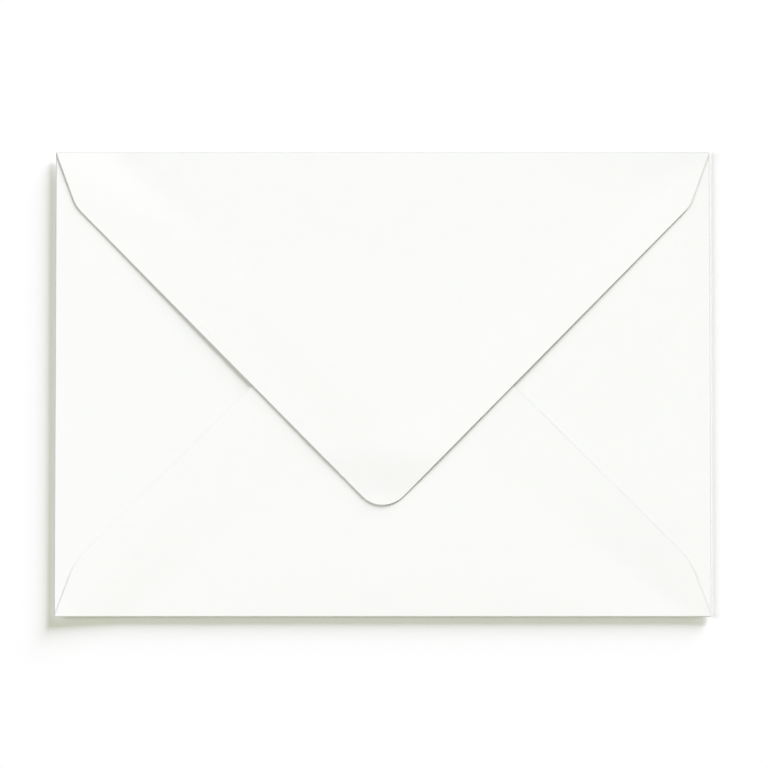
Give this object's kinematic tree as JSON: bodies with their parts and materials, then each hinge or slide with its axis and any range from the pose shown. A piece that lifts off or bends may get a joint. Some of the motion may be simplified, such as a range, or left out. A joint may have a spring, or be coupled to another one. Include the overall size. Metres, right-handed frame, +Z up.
{
  "type": "paper envelope",
  "caption": "Rectangular paper envelope with a deep pointed closing flap, folded from one sheet with glued diagonal seams.",
  "frame": {"origin": "middle of the underside of the address panel, on the surface that the envelope lies on", "axes": "+X along the long edges, +Y towards the fold of the closing flap, +Z up, out of the back with the flap"},
  "size_m": [0.176, 0.125, 0.0015],
  "materials": {
    "paper": "smooth uncoated, matt, warm white"
  },
  "bodies": {
    "root": {"envelope": "paper"}
  },
  "joints": []
}
